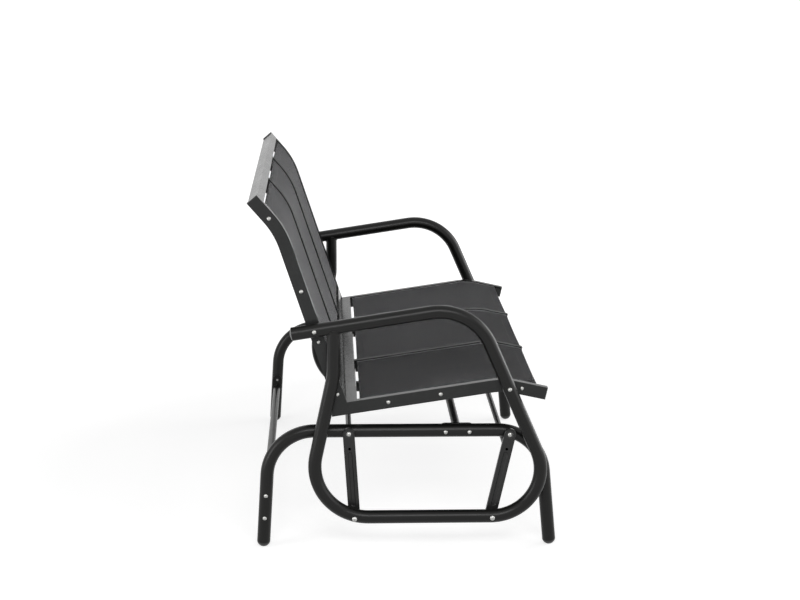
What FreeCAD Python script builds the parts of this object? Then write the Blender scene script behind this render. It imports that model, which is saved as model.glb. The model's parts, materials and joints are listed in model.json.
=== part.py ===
import FreeCAD, Part
import math
import os
import Sketcher
from FreeCAD import Placement, Rotation, Vector

# Two-seat glider bench: a fixed base of two bent-tube trestles, four hanging links in two pairs,
# and a seat unit of two bent-tube side frames with a slung seat and back.
# Millimetres. X is the width, the front faces -Y, Z is up, and the floor is Z = 0.

sizes = {
    # frame tubes
    "tube_od": 32.0,
    "tube_wall": 1.5,
    "side_spacing": 1090.0,
    "link_space": 16.0,
    "contact_gap": 0.1,
    "run_gap": 0.3,
    # base trestles
    "bar_height": 291.0,
    "base_bend_radius": 115.0,
    "front_foot_reach": 355.0,
    "front_shoulder_reach": 325.0,
    "rear_shoulder_reach": 325.0,
    "rear_foot_reach": 342.0,
    "foot_dome": 13.0,
    "foot_wear": 1.0,
    "plug_length": 22.0,
    # base crossbars
    "crossbar_od": 20.0,
    "crossbar_wall": 1.5,
    "front_crossbar_reach": 125.0,
    "rear_crossbar_height": 104.0,
    "plate_thickness": 2.5,
    "plate_width": 26.0,
    "plate_length": 84.0,
    "plate_bolt_spacing": 57.0,
    # screws and nuts
    "bolt_dia": 6.0,
    "bolt_head_dia": 10.0,
    "bolt_head_height": 3.0,
    "bolt_tail": 1.5,
    "socket_width": 4.0,
    "socket_depth": 1.6,
    "nut_width": 10.0,
    "nut_height": 5.0,
    "hole_play": 0.4,
    # links and their pivots
    "pivot_dia": 8.0,
    "pivot_play": 0.1,
    "pivot_head_dia": 11.5,
    "pivot_head_height": 2.6,
    "pivot_nut_width": 13.0,
    "pivot_nut_height": 6.5,
    "rear_pivot_reach": 136.0,
    "front_pivot_reach": 250.0,
    "rear_hanger_reach": 122.0,
    "front_hanger_reach": 208.0,
    "link_width": 28.0,
    "link_inner_gap": 2.5,
    "link_web": 3.0,
    "link_flange": 2.5,
    "boss_gap": 1.0,
    "rim_bevel": 1.2,
    "bevel_angle": 45.0,
    "bush_od": 16.0,
    "bush_flange_od": 20.0,
    "bush_flange": 1.1,
    "open_eye_dia": 10.8,
    "open_eye_offset": 1.25,
    "groove_width": 11.0,
    "groove_depth": 1.8,
    "groove_top_margin": 13.0,
    "groove_margin": 24.0,
    "tie_rod_od": 14.0,
    "tie_rod_wall": 1.5,
    "tie_rod_drop": 37.0,
    "tie_eye_dia": 7.0,
    # side frames of the seat unit
    "arm_rear_reach": 269.0,
    "arm_drop": 67.0,
    "arm_front_reach": 154.0,
    "arm_front_height": 610.0,
    "arm_bend_radius": 132.0,
    "skid_height": 90.0,
    "skid_front_reach": 384.0,
    "skid_front_radius": 116.0,
    "skid_rear_reach": 246.0,
    "skid_rear_radius": 128.0,
    "upright_reach": 172.0,
    "upright_bend_drop": 117.0,
    "upright_bend_radius": 130.0,
    "upright_joint_drop": 60.0,
    "upright_swage": 0.6,
    "arm_plug_dome": 4.0,
    # sling rails
    "rail_depth": 30.0,
    "rail_width": 16.0,
    "inner_rail_width": 15.0,
    "rail_wall": 1.2,
    "inner_rail_web": 1.5,
    "rail_cap": 2.5,
    "rail_cap_plug": 12.0,
    "seat_rear_reach": 175.0,
    "seat_rear_height": 351.3,
    "seat_crest_reach": 230.0,
    "seat_rise": 61.7,
    "seat_front_run": 101.0,
    "seat_front_drop": 22.0,
    "seat_bend_radius": 150.0,
    "inner_rail_setback": 20.5,
    "back_foot_setback": 24.5,
    "back_run": 144.5,
    "back_rise": 430.0,
    "back_top_run": 62.0,
    "back_top_rise": 71.0,
    "back_bend_radius": 200.0,
    # bars and spreaders between the rails
    "back_bar_width": 22.0,
    "seat_bar_width": 29.0,
    "seat_bar_height": 20.0,
    "seat_bar_inset": 45.5,
    "bar_wall": 1.5,
    "bar_end_plate": 4.0,
    "spreader_od": 14.0,
    "spreader_wall": 1.5,
    "spreader_insert": 16.0,
    "seat_spreader_rear_reach": 42.0,
    "seat_spreader_middle_reach": 82.0,
    "seat_spreader_front_inset": 57.0,
    "back_spreader_low_drop": 32.0,
    "back_spreader_middle_rise": 89.0,
    "back_spreader_high_drop": 43.0,
    "back_low_bar_rise": 36.0,
    "spreader_gap": 1.5,
    # slings
    "sling_thickness": 1.2,
    "slot_height": 3.0,
    "hem_dia": 5.0,
    "hem_play": 0.15,
    "hem_headroom": 0.3,
    "rod_dia": 3.0,
    "rod_play": 0.2,
    "sling_end_gap": 8.0,
    "sling_front_gap": 0.5,
}

doc = FreeCAD.newDocument("GliderBench")
sheet = doc.addObject("Spreadsheet::Sheet", "Sizes")
for row, (alias, number) in enumerate(sizes.items(), start=1):
    sheet.set(f"A{row}", alias.replace("_", " "))
    sheet.set(f"B{row}", str(number))
    sheet.setAlias(f"B{row}", alias)
doc.recompute()


class Dim:
    """A size that carries its number and the sheet expression that gives it."""

    def __init__(self, value, text):
        self.value = float(value)
        self.text = text

    def __add__(self, other):
        other = as_dim(other)
        return Dim(self.value + other.value, f"({self.text} + {other.text})")

    def __sub__(self, other):
        other = as_dim(other)
        return Dim(self.value - other.value, f"({self.text} - {other.text})")

    def __mul__(self, other):
        other = as_dim(other)
        return Dim(self.value * other.value, f"({self.text} * {other.text})")

    def __truediv__(self, other):
        other = as_dim(other)
        return Dim(self.value / other.value, f"({self.text} / {other.text})")

    def __neg__(self):
        return Dim(-self.value, f"(0 - {self.text})")

    def __radd__(self, other):
        return as_dim(other) + self

    def __rsub__(self, other):
        return as_dim(other) - self

    def __rmul__(self, other):
        return as_dim(other) * self

    def __float__(self):
        return self.value


def as_dim(value):
    if isinstance(value, Dim):
        return value
    return Dim(value, f"({float(value):.6f})")


def root(value):
    return Dim(math.sqrt(value.value), f"sqrt({value.text})")


class Sizes:
    """The sheet's cells, read by their aliases."""

    def __getattr__(self, alias):
        return Dim(sheet.get(alias), f"Sizes.{alias}")


size = Sizes()
zero = as_dim(0)


# Points and directions in the side plane are (y, z) pairs of Dim.
def plus(a, b):
    return (a[0] + b[0], a[1] + b[1])


def minus(a, b):
    return (a[0] - b[0], a[1] - b[1])


def times(a, k):
    return (a[0] * k, a[1] * k)


def unit(a):
    length = root(a[0] * a[0] + a[1] * a[1])
    return (a[0] / length, a[1] / length)


def front_normal(along):
    """Normal on the left of a direction: the sitting side of a line that climbs the back."""
    return (-along[1], along[0])


def top_normal(along):
    """Normal on the right of a direction: the sitting side of a line that runs to the front."""
    return (along[1], -along[0])


def on_line_at_y(a, b, y):
    return (y, a[1] + (b[1] - a[1]) * (y - a[0]) / (b[0] - a[0]))


def on_line_at_z(a, b, z):
    return (a[0] + (b[0] - a[0]) * (z - a[1]) / (b[1] - a[1]), z)


def crossing(a, b, c, d):
    ab = minus(b, a)
    cd = minus(d, c)
    ac = minus(c, a)
    share = (ac[0] * cd[1] - ac[1] * cd[0]) / (ab[0] * cd[1] - ab[1] * cd[0])
    return plus(a, times(ab, share))


def turn_about_x(direction):
    """Rotation about X that takes +Z to a (y, z) direction."""
    angle = math.degrees(math.atan2(-float(direction[0]), float(direction[1])))
    return Rotation(Vector(1, 0, 0), angle)


def at(x, point):
    return Vector(float(x), float(point[0]), float(point[1]))


# Sketch and feature helpers
nodes = {}


def new_body(label):
    body = doc.addObject("PartDesign::Body", label)
    body.Label = label
    return body


def origin_feature(body, role):
    return next(item for item in body.Origin.OriginFeatures if item.Role == role)


def new_sketch(body, name, role):
    sketch = body.newObject("Sketcher::SketchObject", name)
    sketch.AttachmentSupport = [(origin_feature(body, role), "")]
    sketch.MapMode = "FlatFace"
    return sketch


def lift_to(sketch, height):
    sketch.AttachmentOffset = Placement(Vector(0, 0, float(height)), Rotation())
    sketch.setExpression("AttachmentOffset.Base.z", height.text)


def section_sketch(body, name, path):
    sketch = body.newObject("Sketcher::SketchObject", name)
    sketch.AttachmentSupport = [(path, "Edge1")]
    sketch.MapMode = "NormalToEdge"
    return sketch


def bind(sketch, kind, references, value):
    index = sketch.addConstraint(Sketcher.Constraint(kind, *references, float(value)))
    name = f"{kind.lower()}_{index}"
    sketch.renameConstraint(index, name)
    sketch.setExpression(f"Constraints.{name}", as_dim(value).text)


def pin(sketch, geometry, vertex, point):
    bind(sketch, "DistanceX", (-1, 1, geometry, vertex), point[0])
    bind(sketch, "DistanceY", (-1, 1, geometry, vertex), point[1])


def join(sketch, kind, first, second):
    sketch.addConstraint(Sketcher.Constraint(kind, *first, *second))


def flat(point):
    return Vector(float(point[0]), float(point[1]), 0)


def add_arc(sketch, start, end, centre, radius):
    """Adds a minor arc and returns its index with its start and end vertices."""
    first = math.atan2(start.y - centre.y, start.x - centre.x)
    last = math.atan2(end.y - centre.y, end.x - centre.x)
    forward = (last - first) % (2 * math.pi) < math.pi
    if not forward:
        first, last = last, first
    circle = Part.Circle(centre, Vector(0, 0, 1), radius)
    index = sketch.addGeometry(Part.ArcOfCircle(circle, first, last))
    return (index, 1, 2) if forward else (index, 2, 1)


def outline(sketch, points, arcs=None):
    """Closed outline through points; arcs maps a side's index to its radius and turning sense."""
    arcs = arcs or {}
    sides = []
    for i, point in enumerate(points):
        start = flat(point)
        end = flat(points[(i + 1) % len(points)])
        if i in arcs:
            radius, sense = arcs[i]
            chord = end - start
            height = math.sqrt(max(float(radius) ** 2 - (chord.Length / 2) ** 2, 0.0))
            across = Vector(-chord.y, chord.x, 0).normalize()
            centre = (start + end) * 0.5 + across * (height * sense)
            sides.append(add_arc(sketch, start, end, centre, float(radius)))
        else:
            sides.append((sketch.addGeometry(Part.LineSegment(start, end)), 1, 2))
    for i, (index, start_vertex, end_vertex) in enumerate(sides):
        following = sides[(i + 1) % len(sides)]
        join(sketch, "Coincident", (index, end_vertex), (following[0], following[1]))
        pin(sketch, index, start_vertex, points[i])
        if i in arcs:
            bind(sketch, "Radius", (index,), arcs[i][0])


def circle(sketch, centre, diameter):
    shape = Part.Circle(flat(centre), Vector(0, 0, 1), float(diameter) / 2)
    index = sketch.addGeometry(shape)
    if centre[0] is zero and centre[1] is zero:
        join(sketch, "Coincident", (index, 3), (-1, 1))
    else:
        pin(sketch, index, 3, centre)
    bind(sketch, "Diameter", (index,), diameter)


def rectangle(sketch, centre, width, height):
    low = (centre[0] - width / 2, centre[1] - height / 2)
    high = (centre[0] + width / 2, centre[1] + height / 2)
    outline(sketch, [low, (high[0], low[1]), high, (low[0], high[1])])


def obround(sketch, top, bottom, width):
    """Upright slot outline whose round ends are centred on top and bottom, both on one x."""
    half = width / 2
    points = [
        (top[0] + half, top[1]),
        (top[0] - half, top[1]),
        (bottom[0] - half, bottom[1]),
        (bottom[0] + half, bottom[1]),
    ]
    up = Vector(0, 0, 1)
    cap_top = Part.Circle(flat(top), up, float(half))
    cap_bottom = Part.Circle(flat(bottom), up, float(half))
    upper = sketch.addGeometry(Part.ArcOfCircle(cap_top, 0, math.pi))
    left = sketch.addGeometry(Part.LineSegment(flat(points[1]), flat(points[2])))
    lower = sketch.addGeometry(Part.ArcOfCircle(cap_bottom, math.pi, 2 * math.pi))
    right = sketch.addGeometry(Part.LineSegment(flat(points[3]), flat(points[0])))
    join(sketch, "Tangent", (upper, 2), (left, 1))
    join(sketch, "Tangent", (left, 2), (lower, 1))
    join(sketch, "Tangent", (lower, 2), (right, 1))
    join(sketch, "Tangent", (right, 2), (upper, 1))
    pin(sketch, upper, 3, top)
    pin(sketch, lower, 3, bottom)
    bind(sketch, "Radius", (upper,), half)


def bent_path(body, name, corners, radii):
    """Straight runs through the corners in the side plane, rounded by tangent arcs."""
    sketch = new_sketch(body, name, "YZ_Plane")
    spots = [flat(corner) for corner in corners]
    start = spots[0]
    lines = []
    bends = []
    for i, radius in enumerate(radii, start=1):
        back = (spots[i - 1] - spots[i]).normalize()
        ahead = (spots[i + 1] - spots[i]).normalize()
        half = back.getAngle(ahead) / 2
        run = float(radius) / math.tan(half)
        centre = spots[i] + (back + ahead).normalize() * (float(radius) / math.sin(half))
        first = spots[i] + back * run
        last = spots[i] + ahead * run
        lines.append(sketch.addGeometry(Part.LineSegment(start, first)))
        bends.append(add_arc(sketch, first, last, centre, float(radius)))
        start = last
    lines.append(sketch.addGeometry(Part.LineSegment(start, spots[-1])))
    for i, (index, start_vertex, end_vertex) in enumerate(bends):
        join(sketch, "Tangent", (lines[i], 2), (index, start_vertex))
        join(sketch, "Tangent", (index, end_vertex), (lines[i + 1], 1))
        bind(sketch, "Radius", (index,), radii[i])
        corner = sketch.addGeometry(Part.Point(spots[i + 1]), True)
        join(sketch, "PointOnObject", (corner, 1), (lines[i],))
        join(sketch, "PointOnObject", (corner, 1), (lines[i + 1],))
        pin(sketch, corner, 1, corners[i + 1])
    pin(sketch, lines[0], 1, corners[0])
    pin(sketch, lines[-1], 2, corners[-1])
    doc.recompute()
    return sketch


def pipe(body, kind, name, path, section):
    feature = body.newObject(f"PartDesign::{kind}Pipe", name)
    feature.Profile = section
    feature.Spine = (path, [f"Edge{i + 1}" for i in range(len(path.Shape.Edges))])
    doc.recompute()
    return feature


def round_pipe(body, kind, name, path, diameter):
    section = section_sketch(body, f"{name}_section", path)
    circle(section, (zero, zero), diameter)
    return pipe(body, kind, name, path, section)


def extrude(body, kind, name, sketch, length, side="One side", reverse=False):
    feature = body.newObject(f"PartDesign::{kind}", name)
    feature.Profile = sketch
    feature.SideType = side
    feature.Reversed = reverse
    feature.setExpression("Length", as_dim(length).text)
    doc.recompute()
    return feature


def holes(body, name, centres, diameter):
    """Round holes right through the body along X."""
    sketch = new_sketch(body, f"{name}_centres", "YZ_Plane")
    for centre in centres:
        circle(sketch, centre, diameter)
    before = body.Shape.Volume
    feature = body.newObject("PartDesign::Pocket", name)
    feature.Profile = sketch
    feature.SideType = "Symmetric"
    feature.Type = "ThroughAll"
    doc.recompute()
    if body.Shape.Volume > before - 1:
        raise ValueError(f"{body.Label}: {name} cut nothing")


def revolve(body, name, points, axis, arcs=None):
    sketch = new_sketch(body, f"{name}_outline", "XY_Plane")
    outline(sketch, points, arcs)
    feature = body.newObject("PartDesign::Revolution", name)
    feature.Profile = sketch
    feature.ReferenceAxis = (origin_feature(body, axis), [""])
    feature.Angle = 360
    doc.recompute()
    return feature


def place(item, x, point, rotation=None):
    item.Placement = Placement(at(x, point), rotation or Rotation())
    item.setExpression("Placement.Base.x", as_dim(x).text)
    item.setExpression("Placement.Base.y", as_dim(point[0]).text)
    item.setExpression("Placement.Base.z", as_dim(point[1]).text)


def keep(name, item):
    item.Label = name
    nodes[name] = item


def keep_pair(name, left):
    """Keeps the left piece and its mirror image on the right."""
    keep(f"left_{name}", left)
    right = doc.addObject("Part::Mirroring", f"right_{name}")
    right.Source = left
    right.Normal = Vector(1, 0, 0)
    keep(f"right_{name}", right)


def group(name, copies, mirrored=True):
    """One node of separate solids: placed copies of masters, with their mirror images."""
    doc.recompute()
    solids = []
    for master, spot in copies:
        solid = master.Shape.copy()
        solid.Placement = spot.multiply(master.Placement)
        solids.append(solid)
        if mirrored:
            solids.append(solid.mirror(Vector(0, 0, 0), Vector(1, 0, 0)))
    item = doc.addObject("Part::Feature", name)
    item.Shape = Part.makeCompound(solids)
    keep(name, item)


# Stations across the width, on the left half
tube_radius = size.tube_od / 2
side_x = size.side_spacing / 2
side_inner = side_x - tube_radius
base_x = side_x - size.tube_od - size.link_space
base_outer = base_x + tube_radius
base_inner = base_x - tube_radius
link_inner = base_outer + size.link_inner_gap
link_outer = side_inner - size.bush_flange - size.pivot_head_height - size.run_gap
link_depth = link_outer - link_inner
boss_od = size.link_width - size.link_flange * 2 - size.boss_gap * 2
rail_outer = side_inner - size.contact_gap
rail_inner = rail_outer - size.rail_width
rail_x = rail_outer - size.rail_width / 2

# The sling runs as high in the rail as its hem allows, and the spreaders pass under the hems
sling_rise = size.rail_depth / 2 - size.rail_wall - size.hem_dia / 2 - size.hem_headroom
spreader_offset = sling_rise - size.hem_dia / 2 - size.spreader_gap - size.spreader_od / 2

# Hem beads sit behind the lips of the rails' slots; three slings of one width fill the span
bead_inset = size.rail_wall + size.hem_dia / 2 + size.hem_play
outer_bead_x = rail_inner + bead_inset
inner_bead_offset = size.inner_rail_width / 2 - bead_inset
sling_width = (outer_bead_x * 2 - inner_bead_offset * 4) / 3
inner_rail_x = sling_width / 2 + inner_bead_offset
sling_pitch = sling_width + inner_bead_offset * 2

# Corner points of the centre lines in the side plane
front_foot = (-size.front_foot_reach, zero)
front_shoulder = (-size.front_shoulder_reach, size.bar_height)
rear_shoulder = (size.rear_shoulder_reach, size.bar_height)
rear_foot = (size.rear_foot_reach, zero)
tube_end_height = size.foot_dome - size.foot_wear
front_tube_end = on_line_at_z(front_foot, front_shoulder, tube_end_height)
rear_tube_end = on_line_at_z(rear_foot, rear_shoulder, tube_end_height)

arm_rear = (size.arm_rear_reach, size.arm_front_height - size.arm_drop)
arm_front = (-size.arm_front_reach, size.arm_front_height)
skid_front = (-size.skid_front_reach, size.skid_height)
skid_rear = (size.skid_rear_reach, size.skid_height)
upright_top = on_line_at_y(arm_rear, arm_front, size.upright_reach)
upright_bend = (size.upright_reach, upright_top[1] - size.upright_bend_drop)
upright_joint = (size.upright_reach, upright_top[1] - size.upright_joint_drop)

seat_rear = (size.seat_rear_reach, size.seat_rear_height)
seat_crest = (-size.seat_crest_reach, size.seat_rear_height + size.seat_rise)
seat_front = minus(seat_crest, (size.seat_front_run, size.seat_front_drop))
back_foot = on_line_at_y(seat_rear, seat_crest, seat_rear[0] - size.back_foot_setback)
back_bend = plus(back_foot, (size.back_run, size.back_rise))
back_top = plus(back_bend, (size.back_top_run, size.back_top_rise))
seat_along = unit(minus(seat_crest, seat_rear))
seat_slope_down = unit(minus(seat_front, seat_crest))
back_along = unit(minus(back_bend, back_foot))
back_top_along = unit(minus(back_top, back_bend))

# Pivots: the upper ones lie on the base bar's centre line, the lower ones on the skid's
rear_pivot = (size.rear_pivot_reach, size.bar_height)
to_leg = unit(minus(front_foot, front_shoulder))
half_turn = root((1 - to_leg[0]) / (1 + to_leg[0]))
bend_start = size.base_bend_radius / half_turn - size.front_shoulder_reach
past_bend = -size.front_pivot_reach - bend_start
radius_square = size.base_bend_radius * size.base_bend_radius
bend_drop = size.base_bend_radius - root(radius_square - past_bend * past_bend)
front_pivot = (-size.front_pivot_reach, size.bar_height - bend_drop)
rear_hanger = (size.rear_hanger_reach, size.skid_height)
front_hanger = (-size.front_hanger_reach, size.skid_height)

# Bolt stations
arm_bolt = crossing(arm_rear, arm_front, back_foot, back_bend)
leg_bolt = crossing(arm_front, skid_front, seat_crest, seat_front)
seat_lift = times(top_normal(seat_along), spreader_offset)
front_lift = times(top_normal(seat_slope_down), spreader_offset)
seat_spreader_front = seat_front[0] + size.seat_spreader_front_inset
seat_spreaders = {
    "rear": plus(on_line_at_y(seat_rear, seat_crest, size.seat_spreader_rear_reach), seat_lift),
    "middle": plus(on_line_at_y(seat_rear, seat_crest, -size.seat_spreader_middle_reach), seat_lift),
    "front": plus(on_line_at_y(seat_crest, seat_front, seat_spreader_front), front_lift),
}
back_lift = times(front_normal(back_along), spreader_offset)
top_lift = times(front_normal(back_top_along), spreader_offset)
low_height = arm_bolt[1] - size.back_spreader_low_drop
middle_height = arm_bolt[1] + size.back_spreader_middle_rise
high_height = back_top[1] - size.back_spreader_high_drop
back_spreaders = {
    "low": plus(on_line_at_z(back_foot, back_bend, low_height), back_lift),
    "middle": plus(on_line_at_z(back_foot, back_bend, middle_height), back_lift),
    "high": plus(on_line_at_z(back_bend, back_top, high_height), top_lift),
}
low_bar = on_line_at_z(back_foot, back_bend, back_foot[1] + size.back_low_bar_rise)
half_spacing = size.plate_bolt_spacing / 2
front_crossbar = (-size.front_crossbar_reach, size.bar_height)
rear_crossbar = on_line_at_z(rear_foot, rear_shoulder, size.rear_crossbar_height)
rear_leg_along = unit(minus(rear_shoulder, rear_foot))
front_crossbar_bolts = [
    (front_crossbar[0] + half_spacing, front_crossbar[1]),
    (front_crossbar[0] - half_spacing, front_crossbar[1]),
]
rear_crossbar_bolts = [
    plus(rear_crossbar, times(rear_leg_along, half_spacing)),
    minus(rear_crossbar, times(rear_leg_along, half_spacing)),
]
bolt_hole = size.bolt_dia + size.hole_play
pivot_hole = size.pivot_dia + size.hole_play
tube_bore = size.tube_od - size.tube_wall * 2


# Base
def base_frame():
    body = new_body("left_base_frame")
    corners = [front_tube_end, front_shoulder, rear_shoulder, rear_tube_end]
    path = bent_path(body, "base_path", corners, [size.base_bend_radius] * 2)
    round_pipe(body, "Additive", "base_tube", path, size.tube_od)
    round_pipe(body, "Subtractive", "base_bore", path, tube_bore)
    holes(body, "base_bolt_holes", front_crossbar_bolts + rear_crossbar_bolts, bolt_hole)
    holes(body, "base_pivot_holes", [front_pivot, rear_pivot], pivot_hole)
    place(body, base_x, (zero, zero))
    keep_pair("base_frame", body)


def foot(name, foot_point, shoulder, tube_end):
    body = new_body(f"{name}_cap")
    dome_radius = (tube_radius * tube_radius + size.foot_dome * size.foot_dome) / (size.foot_dome * 2)
    plug_radius = tube_bore / 2 - size.contact_gap
    points = [
        (zero, -size.foot_dome),
        (tube_radius, zero),
        (plug_radius, zero),
        (plug_radius, size.plug_length),
        (zero, size.plug_length),
    ]
    revolve(body, "cap", points, "Y_Axis", {0: (dome_radius, 1)})
    stand = Rotation(Vector(1, 0, 0), 90)
    lean = turn_about_x(unit(minus(shoulder, foot_point)))
    place(body, base_x, tube_end, lean.multiply(stand))
    floor = doc.addObject("Part::Box", f"{name}_floor")
    for side in ("Length", "Width", "Height"):
        floor.setExpression(side, (size.tube_od * 2).text)
    reach = size.tube_od
    place(floor, base_x - reach, (tube_end[0] - reach, -size.tube_od * 2))
    cut = doc.addObject("Part::Cut", name)
    cut.Base = body
    cut.Tool = floor
    keep_pair(name, cut)


def crossbar(name, centre, rotation):
    body = new_body(name)
    plate_face = base_inner - size.contact_gap
    half_length = size.plate_length / 2 - size.plate_width / 2
    sketch = new_sketch(body, f"{name}_plate", "YZ_Plane")
    obround(sketch, (zero, half_length), (zero, -half_length), size.plate_width)
    circle(sketch, (zero, half_spacing), bolt_hole)
    circle(sketch, (zero, -half_spacing), bolt_hole)
    extrude(body, "Pad", f"{name}_blank", sketch, plate_face * 2, "Symmetric")
    waist = new_sketch(body, f"{name}_waist", "YZ_Plane")
    circle(waist, (zero, zero), size.crossbar_od)
    circle(waist, (zero, zero), size.plate_length * 2)
    inside = (plate_face - size.plate_thickness) * 2
    extrude(body, "Pocket", f"{name}_tube", waist, inside, "Symmetric")
    holes(body, f"{name}_bore", [(zero, zero)], size.crossbar_od - size.crossbar_wall * 2)
    place(body, zero, centre, rotation)
    keep(name, body)


# Fasteners: the head's seat is at x = 0 and the head points along +X
def bolt(name, shank_dia, head_dia, head_height, length):
    body = new_body(name)
    head_radius = head_dia / 2
    dome_radius = (head_radius * head_radius + head_height * head_height) / (head_height * 2)
    points = [
        (-length, zero),
        (head_height, zero),
        (zero, head_radius),
        (zero, shank_dia / 2),
        (-length, shank_dia / 2),
    ]
    revolve(body, f"{name}_turned", points, "X_Axis", {1: (dome_radius, 1)})
    socket = new_sketch(body, f"{name}_socket_outline", "YZ_Plane")
    half = size.socket_width / 2
    tip = size.socket_width / math.sqrt(3)
    outline(socket, [(half, tip / 2), (zero, tip), (-half, tip / 2), (-half, -tip / 2), (zero, -tip), (half, -tip / 2)])
    lift_to(socket, head_height)
    extrude(body, "Pocket", f"{name}_socket", socket, size.socket_depth)
    return body


def nut(name, shank_dia, width, height):
    prism = doc.addObject("Part::Prism", f"{name}_hexagon")
    prism.Polygon = 6
    prism.setExpression("Circumradius", (width / math.sqrt(3)).text)
    prism.setExpression("Height", height.text)
    thread = doc.addObject("Part::Cylinder", f"{name}_thread")
    thread.setExpression("Radius", (shank_dia / 2).text)
    thread.setExpression("Height", height.text)
    cut = doc.addObject("Part::Cut", name)
    cut.Base = prism
    cut.Tool = thread
    cut.Placement = Placement(Vector(0, 0, 0), Rotation(Vector(0, 1, 0), -90))
    return cut


def m6(name, grip):
    return bolt(name, size.bolt_dia, size.bolt_head_dia, size.bolt_head_height, grip)


def m8(name, grip):
    return bolt(name, size.pivot_dia, size.pivot_head_dia, size.pivot_head_height, grip)


def spots(x, points):
    return [Placement(at(x, point), Rotation()) for point in points]


def base_fasteners():
    seat_of_nut = base_inner - size.contact_gap - size.plate_thickness
    grip = base_outer - seat_of_nut + size.nut_height + size.bolt_tail
    master = m6("crossbar_bolt_master", grip)
    points = front_crossbar_bolts + rear_crossbar_bolts
    group("base_crossbar_bolts", [(master, spot) for spot in spots(base_outer, points)])
    master = nut("crossbar_nut_master", size.bolt_dia, size.nut_width, size.nut_height)
    group("base_crossbar_nuts", [(master, spot) for spot in spots(seat_of_nut, points)])
    head_seat = link_outer + size.bush_flange
    grip = head_seat - base_inner + size.pivot_nut_height + size.bolt_tail
    master = m8("upper_pivot_master", grip)
    points = [front_pivot, rear_pivot]
    group("upper_pivot_bolts", [(master, spot) for spot in spots(head_seat, points)])
    master = nut("upper_nut_master", size.pivot_dia, size.pivot_nut_width, size.pivot_nut_height)
    group("upper_pivot_nuts", [(master, spot) for spot in spots(base_inner, points)])


# Links: pressed channels that open inwards, with a boss and a flanged bush at each eye
def link(name, pivot, hanger):
    body = new_body(f"left_{name}")
    span = minus(hanger, pivot)
    length = root(span[0] * span[0] + span[1] * span[1])
    top = (zero, zero)
    bottom = (zero, -length)
    blank = new_sketch(body, f"{name}_outline", "YZ_Plane")
    obround(blank, top, bottom, size.link_width)
    extrude(body, "Pad", f"{name}_blank", blank, link_depth - size.rim_bevel)
    rim = new_sketch(body, f"{name}_rim_outline", "YZ_Plane")
    obround(rim, top, bottom, size.link_width)
    lift_to(rim, link_depth - size.rim_bevel)
    face = extrude(body, "Pad", f"{name}_face", rim, size.rim_bevel)
    face.setExpression("TaperAngle", "0 - Sizes.bevel_angle")
    trough = new_sketch(body, f"{name}_trough_outline", "YZ_Plane")
    obround(trough, top, bottom, size.link_width - size.link_flange * 2)
    circle(trough, top, boss_od)
    circle(trough, bottom, boss_od)
    before = body.Shape.Volume
    extrude(body, "Pocket", f"{name}_trough", trough, link_depth - size.link_web, reverse=True)
    if body.Shape.Volume > before - 1:
        raise ValueError(f"{name}: the channel was not cut")
    holes(body, f"{name}_eyes", [top, bottom], size.bush_od + size.contact_gap)
    holes(body, f"{name}_tie_eye", [(zero, -size.tie_rod_drop)], size.tie_eye_dia)
    groove = new_sketch(body, f"{name}_groove_outline", "YZ_Plane")
    groove_top = (zero, -size.tie_rod_drop - size.groove_top_margin)
    groove_bottom = (zero, size.groove_margin - length)
    obround(groove, groove_top, groove_bottom, size.groove_width)
    lift_to(groove, link_depth)
    before = body.Shape.Volume
    pressed = extrude(body, "Pocket", f"{name}_groove", groove, size.groove_depth)
    pressed.setExpression("TaperAngle", "0 - Sizes.bevel_angle")
    doc.recompute()
    if body.Shape.Volume > before - 1:
        raise ValueError(f"{name}: the groove was not pressed")
    place(body, link_inner, pivot, turn_about_x(times(unit(span), as_dim(-1))))
    keep_pair(name, body)
    return body


def bush(name, bore_dia, bore_offset, inner_face, outer_face):
    """Flanged bush along X between two faces, with its bore set back by an offset along Y."""
    body = new_body(name)
    sleeve = new_sketch(body, f"{name}_sleeve_outline", "YZ_Plane")
    circle(sleeve, (zero, zero), size.bush_od)
    extrude(body, "Pad", f"{name}_sleeve", sleeve, link_depth)
    inner = new_sketch(body, f"{name}_inner_outline", "YZ_Plane")
    circle(inner, (zero, zero), size.bush_flange_od)
    extrude(body, "Pad", f"{name}_inner_flange", inner, link_inner - inner_face, reverse=True)
    outer = new_sketch(body, f"{name}_outer_outline", "YZ_Plane")
    circle(outer, (zero, zero), size.bush_flange_od)
    lift_to(outer, link_depth)
    extrude(body, "Pad", f"{name}_outer_flange", outer, outer_face - link_outer)
    holes(body, f"{name}_bore", [(bore_offset, zero)], bore_dia)
    return body


def link_pair(name, pivot, hanger, lower_bore, lower_offset):
    link(f"{name}_link", pivot, hanger)
    span = minus(hanger, pivot)
    hang = unit(span)
    upper_bush = bush(
        f"{name}_upper_bush",
        size.pivot_dia + size.pivot_play,
        zero,
        base_outer + size.run_gap,
        link_outer + size.bush_flange - size.run_gap,
    )
    lower_bush = bush(
        f"{name}_lower_bush",
        lower_bore,
        lower_offset,
        link_inner - size.bush_flange + size.run_gap,
        side_inner - size.run_gap,
    )
    copies = [
        (upper_bush, Placement(at(link_inner, pivot), Rotation())),
        (lower_bush, Placement(at(link_inner, hanger), Rotation())),
    ]
    group(f"{name}_link_bushes", copies)
    rod = new_body(f"{name}_tie_rod")
    ring = new_sketch(rod, f"{name}_rod_section", "YZ_Plane")
    circle(ring, (zero, zero), size.tie_rod_od)
    circle(ring, (zero, zero), size.tie_rod_od - size.tie_rod_wall * 2)
    reach = link_outer - size.link_web
    extrude(rod, "Pad", f"{name}_rod_tube", ring, reach * 2, "Symmetric")
    place(rod, zero, plus(pivot, times(hang, size.tie_rod_drop)))
    keep(f"{name}_tie_rod", rod)


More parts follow.
